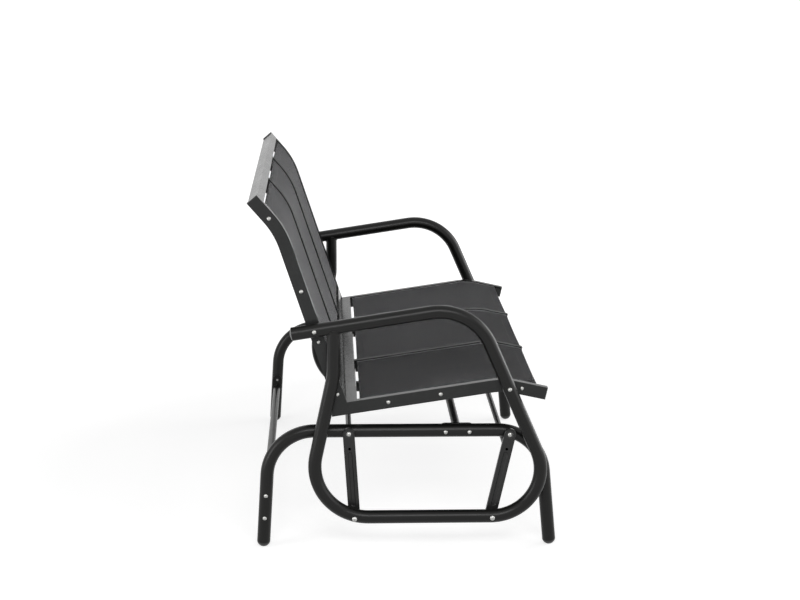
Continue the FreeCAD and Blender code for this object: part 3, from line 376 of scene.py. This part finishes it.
# a line's corner, its headings before and after it, the two runs' lengths and the angle between them
def lineRuns(line):
    rear, corner, front = (np.array(line[key]) for key in ("rear", "corner", "front"))
    before, after = np.linalg.norm(corner - rear), np.linalg.norm(front - corner)
    into, out = (corner - rear) / before, (front - corner) / after
    turn = math.atan2(into[0] * out[1] - into[1] * out[0], into @ out)
    return corner, into, out, before, after, turn


# a direction in the side plane, turned by each of many angles
def turned(direction, angle):
    (y, z), cosine, sine = direction, np.cos(angle), np.sin(angle)
    return np.stack([y * cosine - z * sine, y * sine + z * cosine], -1)


# a point and its left-hand normal at each distance along a line, measured from the middle of its arc:
# straight before the arc, a circle on the bend, straight after it
def bentLine(line, distance):
    corner, into, out, _, _, turn = lineRuns(line)
    bend, side = line["bend"], math.copysign(1, turn)
    tangent, arc = bend * math.tan(abs(turn) / 2), bend * abs(turn)
    angle = np.clip((distance + arc / 2) / bend, 0, abs(turn)) * side
    left = np.array([-into[1], into[0]])
    centre = corner - into * tangent + left * bend * side
    onArc = centre + bend * turned(-left * side, angle)
    before = np.minimum(distance + arc / 2, 0)[..., None] * into
    after = np.maximum(distance - arc / 2, 0)[..., None] * out
    return onArc + before + after, turned(left, angle)


# where a sling starts and ends on its line, as distances from the arc's middle:
# each straight run less the inset at its end and less what the arc saves at the corner
def slingSpan(spec):
    _, _, _, before, after, turn = lineRuns(spec["line"])
    half = abs(turn) / 2
    slack = spec["line"]["bend"] * (math.tan(half) - half)
    return spec["startInset"] + slack - before, after - slack - spec["endInset"]


# a point of a sling's mid surface and its normal: v runs along the line, u from -1 to 1 across, h is the
# height above it; the cloth sags a little between the rails and its free ends are drawn in between them
def slingSurface(spec, centreX, v, u, h):
    size = slingSize
    low, high = slingSpan(spec)
    bow = 1 - u ** 2
    share = (v - low) / (high - low)
    fade = np.exp((low - v) / size["scallopReach"]) - np.exp((v - high) / size["scallopReach"])
    place, normal = bentLine(spec["line"], v + size["scallop"] * bow * fade)
    normal = normal * spec["flip"]
    swell = size["sagAtEnds"] + size["sagBetween"] * np.sin(np.clip(share, 0, 1) * math.pi)
    yz = place + normal * (size["rise"] + h - size["sag"] * bow * swell)[..., None]
    return np.stack([centreX + u * size["width"] / 2, yz[..., 0], yz[..., 1]], -1), normal


# a sling's section along its length, as distances v and heights h: the top, a half-round nose at each end,
# and an underside that steps down by a hem's thickness, as a smooth S, one hem's width from each end
def slingSection(low, high):
    size = slingSize
    length, half, hem = high - low, size["thick"] / 2, size["hemThick"]
    top = np.linspace(0, 1, size["along"])
    step = (size["hemWidth"] + np.linspace(-size["hemStep"], size["hemStep"], size["hemSteps"])) / length
    under = np.unique(np.concatenate([top, step, 1 - step]))[::-1]
    fromEnds = np.stack([under, 1 - under]) * length
    fold = (1 / (1 + np.exp((fromEnds - size["hemWidth"]) / size["hemSoftness"]))).sum(0)
    nose = np.linspace(-math.pi / 2, math.pi / 2, size["noseSteps"])[1:-1]
    reach, drop = np.cos(nose) * (half + hem / 2), np.sin(nose) * (half + hem / 2)
    v = np.concatenate([low + top * length, high + reach, low + under * length, low - reach])
    h = np.concatenate([np.full(top.shape, half), -hem / 2 - drop, -half - hem * fold, drop - hem / 2])
    return v, h


# one stretched sling: its section carried across the width, closed at both sides
def slingPiece(name, spec, centreX, node):
    size = slingSize
    low, high = slingSpan(spec)
    v, h = slingSection(low, high)
    u = np.linspace(-1, 1, size["across"])
    vGrid, uGrid = np.meshgrid(v, u, indexing="ij")
    points, _ = slingSurface(spec, centreX, vGrid, uGrid, np.repeat(h[:, None], len(u), 1))
    rows, columns = len(v), len(u)
    quads = gridFaces(rows, columns, closeRows=True)
    first = np.arange(rows) * columns
    rings = [first.tolist(), (first + columns - 1).tolist()[::-1]]
    if spec["flip"] < 0:
        quads = quads[:, ::-1]
        rings = [ring[::-1] for ring in rings]
    uv = np.stack([uGrid * size["width"] / 2, vGrid], -1).reshape(-1, 2)
    cloth = meshPiece(name, points.reshape(-1, 3), quads.tolist() + rings, finishes["sling_mesh"], uv)
    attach(cloth, spec["body"])
    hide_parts(node)
    extras = [hemBeads(f"{name}_beads", spec, centreX), hemStitches(f"{name}_stitches", spec, centreX)]
    high - low


# the rolled edges that hold the rods: a ring section carried along each side, outside first and back inside
beadSize = {"outer": 0.0025, "inner": 0.00165, "around": 14, "along": 60}


def hemBeads(name, spec, centreX):
    size = beadSize
    low, high = slingSpan(spec)
    run = np.linspace(low, high, size["along"])
    v, turn = np.meshgrid(np.concatenate([run, run[::-1]]), roundTurn(size["around"]), indexing="ij")
    radius = np.repeat([size["outer"], size["inner"]], size["along"])[:, None]
    faces = gridFaces(len(v), size["around"], closeRows=True, closeColumns=True)
    if spec["flip"] > 0:
        faces = faces[:, ::-1]
    points = []
    for side in (-1.0, 1.0):
        axis, normal = slingSurface(spec, centreX, v, np.full(v.shape, side), np.zeros(v.shape))
        axis[..., 0] += radius * np.cos(turn)
        axis[..., 1:] += normal * (radius * np.sin(turn))[..., None]
        points.append(axis.reshape(-1, 3))
    faces = np.concatenate([faces, faces + len(points[0])])
    beads = meshPiece(name, np.concatenate(points), faces.tolist(), edgeFinish)
    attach(beads, spec["body"])
    return beads


# stitches: a short spindle of thread laid along a seam, repeated down each side and across each folded hem;
# endClear is in metres, sideClear and taper are shares of the half width and of a stitch's length
stitchSize = {
    "pitch": 0.0052, "length": 0.0041, "width": 0.00085, "height": 0.00045, "sideInset": 0.0088, "hemInset": 0.0205,
    "endClear": 0.004, "sideClear": 0.03, "taper": 0.48, "swell": 0.6, "rings": 5, "around": 6,
}


def hemStitches(name, spec, centreX):
    size = stitchSize
    low, high = slingSpan(spec)
    halfWidth = slingSize["width"] / 2
    edge = 1 - size["sideInset"] / halfWidth
    along = np.arange(low + size["endClear"], high - size["endClear"], size["pitch"])
    across = np.arange(size["sideClear"] - edge, edge - size["sideClear"], size["pitch"] / halfWidth)
    hemEnds = np.repeat([low + size["hemInset"], high - size["hemInset"]], len(across))
    v = np.concatenate([along, along, hemEnds])
    u = np.concatenate([np.repeat([-edge, edge], len(along)), across, across])
    count, rings, around = len(v), size["rings"], size["around"]
    down = (np.arange(count) < 2 * len(along))[:, None, None]
    t, turn = np.meshgrid(np.linspace(-size["taper"], size["taper"], rings), roundTurn(around), indexing="ij")
    girth = np.cos(t * math.pi) ** size["swell"]
    lengthwise, sidewise = t * size["length"], girth * np.cos(turn) * size["width"] / 2
    dv = np.where(down, lengthwise, sidewise)
    du = np.where(down, sidewise, lengthwise) / halfWidth
    h = slingSize["thick"] / 2 + np.broadcast_to(girth * np.sin(turn) * size["height"], dv.shape)
    points, _ = slingSurface(spec, centreX, v[:, None, None] + dv, u[:, None, None] + du, h)
    each = rings * around
    start = np.arange(count)[:, None, None] * each
    ends = np.stack([np.arange(around)[::-1], np.arange(each - around, each)])
    outward = np.where(down, -1, 1) * spec["flip"] > 0
    faces = []
    for shape in (gridFaces(rings, around, closeColumns=True), ends):
        placed = shape[None] + start
        faces += np.where(outward, placed, placed[:, :, ::-1]).reshape(-1, shape.shape[1]).tolist()
    stitches = meshPiece(name, points.reshape(-1, 3), faces, threadFinish)
    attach(stitches, spec["body"])
    return stitches


for kind, spec in (("seat", seatSling), ("back", backSling)):
    for order, label in enumerate(("left", "middle", "right")):
        centreX = (1 - order) * slingSize["pitch"]
        slingPiece(f"{label}_{kind}_mesh", spec, centreX, f"{label}_{kind}_sling")
print("slings: 6, with beads and stitches")


# turns a closed shell's faces outwards by the sign of its volume
def outwardVolume(piece):
    mesh = piece.data
    mesh.calc_loop_triangles()
    corner = np.empty(len(mesh.loop_triangles) * 3, np.int32)
    mesh.loop_triangles.foreach_get("vertices", corner)
    spot = np.empty(len(mesh.vertices) * 3)
    mesh.vertices.foreach_get("co", spot)
    a, b, c = spot.reshape(-1, 3)[corner.reshape(-1, 3)].swapaxes(0, 1)
    if np.einsum("ij,ij->i", a, np.cross(b, c)).sum() < 0:
        mesh.flip_normals()


# a weld: a rippled bead carried round a closed seam; its section swells with each pass of the torch,
# and drifts a little from pass to pass
weldSize = {
    "radius": 0.0019, "pitch": 0.0021, "ripple": 0.16, "drift": 0.06, "driftRate": 0.37,
    "uprightSteps": 140, "plateSteps": 70, "around": 10,
}


def weldBead(name, body, centres, outward, up):
    size = weldSize
    gap = np.linalg.norm(np.roll(centres, -1, 0) - centres, axis=1)
    passes = round(gap.sum() / size["pitch"])
    phase = np.cumsum(gap) / gap.sum() * passes * 2 * math.pi
    ripple = size["ripple"] * np.sin(phase) + size["drift"] * np.sin(phase * size["driftRate"])
    radius = size["radius"] * (1 + ripple)
    turn = roundTurn(size["around"])[None, :, None]
    ring = np.cos(turn) * outward[:, None] + np.sin(turn) * np.array(up)
    points = centres[:, None] + radius[:, None, None] * ring
    faces = gridFaces(len(centres), size["around"], closeRows=True, closeColumns=True)
    weld = meshPiece(name, points.reshape(-1, 3), faces.tolist(), finishes["tube_coat"])
    outwardVolume(weld)
    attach(weld, body)


# where the upright meets the armrest: on the upright's circle, the height of the arm tube's underside;
# cosine and sine are of the arm's slope
joint = {
    "x": 0.545, "y": 0.172, "z": 0.55836, "upright": 0.0155, "arm": 0.016, "cosine": 0.98769, "sine": 0.15644,
}


def uprightWeld(name, side):
    angle = roundTurn(weldSize["uprightSteps"])
    outward = np.stack([np.cos(angle), np.sin(angle), np.zeros_like(angle)], -1)
    dx, dy, _ = joint["upright"] * outward.T
    under = -np.sqrt(joint["arm"] ** 2 - dx ** 2)
    dz = (under - dy * joint["sine"]) / joint["cosine"]
    centres = np.stack([side * joint["x"] + dx, joint["y"] + dy, joint["z"] + dz], -1)
    weldBead(name, "seat", centres, outward, (0.0, 0.0, 1.0))


# where a crossbar meets its end plate: a circle in the side plane
plateSeam = {"x": 0.4784, "radius": 0.0105, "front": (-0.125, 0.291), "rear": (0.33592, 0.104)}


def plateWeld(name, side, spot):
    angle = roundTurn(weldSize["plateSteps"])
    outward = np.stack([np.zeros_like(angle), np.cos(angle), np.sin(angle)], -1)
    centres = np.array([side * plateSeam["x"], *spot]) + plateSeam["radius"] * outward
    weldBead(name, "base", centres, outward, (1.0, 0.0, 0.0))


for label, side in (("left", 1), ("right", -1)):
    uprightWeld(f"{label}_upright_weld", side)
    for end in ("front", "rear"):
        plateWeld(f"{label}_{end}_plate_weld", side, plateSeam[end])
print("welds: 6")

# smooth shading on round CAD faces, with creases sharper than this angle kept
shading = {"crease": 30.0}


def shadeSmooth(piece):
    bpy.context.view_layer.objects.active = piece
    piece.select_set(True)
    bpy.ops.object.shade_auto_smooth(angle=math.radians(shading["crease"]))
    piece.select_set(False)


for name, node in nodes.items():
    if not name.endswith("_sling"):
        shadeSmooth(node)

# studio: a wide pale floor and an even sky that look white, a soft sun from the front, and a soft box on each side;
# the floor's glow is at its lift near the bench, where it keeps the shadow, and full further away
studio = {
    "floor": {
        "reach": 40.0, "drop": 0.0003, "colour": (0.50, 0.50, 0.50, 1), "roughness": 0.9,
        "lift": 0.71, "liftStart": 0.9, "liftReach": 1.6,
    },
    "sky": {"level": 0.20, "shown": 1.0},
    "sun": {"place": (-0.3, -1.5, 0.55), "aim": (0.0, 0.0, 0.0), "level": 0.95, "angle": 50.0},
    "boxes": {
        "backBox": {"place": (2.4, 0.4, 1.6), "aim": (0.0, 0.0, 0.5), "size": (3.4, 1.2), "level": 0.7},
        "sideBox": {"place": (-3.2, 0.0, 2.4), "aim": (0.0, 0.0, 0.4), "size": (2.6, 1.0), "level": 6.6},
        "frontBox": {"place": (1.2, -3.0, 1.1), "aim": (0.0, 0.0, 0.5), "size": (1.4, 1.8), "level": 5.2},
        "rearBox": {"place": (-1.6, 2.7, 0.95), "aim": (0.0, 0.0, 0.4), "size": (1.2, 1.6), "level": 4.5},
    },
}


def paleFloor(look):
    finish = Finish("paleFloor", {
        "Base Color": look["colour"], "Roughness": look["roughness"], "Specular IOR Level": 0.0,
        "Emission Strength": 1.0,
    })
    away = finish.node("ShaderNodeVectorMath", {"operation": "LENGTH"}, {0: finish.place()}, "Value")
    far = ((away - look["liftStart"]) * (1 / look["liftReach"])).clamp()
    glow = finish.seen() * (look["lift"] + far * (1 - look["lift"]))
    finish.feed(Emission_Color=finish.mix(glow, (0.0, 0.0, 0.0), (1.0, 1.0, 1.0)))
    square = np.array([[-1, -1, 0], [1, -1, 0], [1, 1, 0], [-1, 1, 0]])
    corners = square * look["reach"] - [0, 0, look["drop"]]
    meshPiece("floor", corners, [[0, 1, 2, 3]], finish.material)


def evenSky(look):
    world = bpy.data.worlds.new("studio")
    bpy.context.scene.world = world
    sky = Graph(world)
    white = (1, 1, 1, 1)
    lit, shown = (
        sky.node("ShaderNodeBackground", {}, {"Color": white, "Strength": look[key]}) for key in ("level", "shown")
    )
    pick = sky.node("ShaderNodeMixShader", {}, {0: sky.seen(), 1: lit, 2: shown})
    sky.show(pick.socket, "ShaderNodeOutputWorld")


# a lamp at a place that looks at a point: its -Z axis is turned onto the line between them
def aimLamp(lamp, look):
    item = bpy.data.objects.new(lamp.name, lamp)
    bpy.context.scene.collection.objects.link(item)
    down = np.array(look["aim"]) - np.array(look["place"])
    down /= np.linalg.norm(down)
    item.location = look["place"]
    item.rotation_euler = (math.acos(-down[2]), 0, math.atan2(down[1], down[0]) - math.pi / 2)


def softSun(look):
    lamp = bpy.data.lights.new("softSun", "SUN")
    lamp.energy = look["level"]
    lamp.angle = math.radians(look["angle"])
    aimLamp(lamp, look)


# a box's level is its brightness, so its power goes with its area
def softBox(name, look):
    lamp = bpy.data.lights.new(name, "AREA")
    lamp.shape = "RECTANGLE"
    lamp.size, lamp.size_y = look["size"]
    lamp.energy = look["level"] * math.pi * lamp.size * lamp.size_y
    aimLamp(lamp, look)


paleFloor(studio["floor"])
evenSky(studio["sky"])
softSun(studio["sun"])
for name, look in studio["boxes"].items():
    softBox(name, look)

# the camera stands off the bench's right side, a little above it, and looks slightly down;
# angles are in radians, and the focal length is in pixels of an image of that width
view = {
    "place": (-4.26121, 0.190, 1.52859), "yaw": 0.04644, "pitch": 0.23847, "roll": 0.0084,
    "focal": 1650.0, "imageWidth": 800.0, "sensor": 36.0, "clipEnd": 200.0,
}


def setCamera():
    lens = bpy.data.cameras.new("camera")
    lens.sensor_fit = "HORIZONTAL"
    lens.sensor_width = view["sensor"]
    lens.lens = view["focal"] / view["imageWidth"] * view["sensor"]
    lens.clip_end = view["clipEnd"]
    camera = bpy.data.objects.new("camera", lens)
    bpy.context.scene.collection.objects.link(camera)
    cosY, sinY = math.cos(view["yaw"]), math.sin(view["yaw"])
    cosP, sinP = math.cos(view["pitch"]), math.sin(view["pitch"])
    cosR, sinR = math.cos(view["roll"]), math.sin(view["roll"])
    ahead = np.array([cosP * cosY, -cosP * sinY, -sinP])
    right = np.array([-sinY, -cosY, 0.0])
    up = np.cross(right, ahead)
    pose = np.eye(4)
    pose[:3, 0] = cosR * right + sinR * up
    pose[:3, 1] = cosR * up - sinR * right
    pose[:3, 2] = -ahead
    pose[:3, 3] = view["place"]
    camera.matrix_world = pose.T
    bpy.context.scene.camera = camera


setCamera()
bpy.context.scene.view_settings.view_transform = "Standard"
print("studio and camera set")
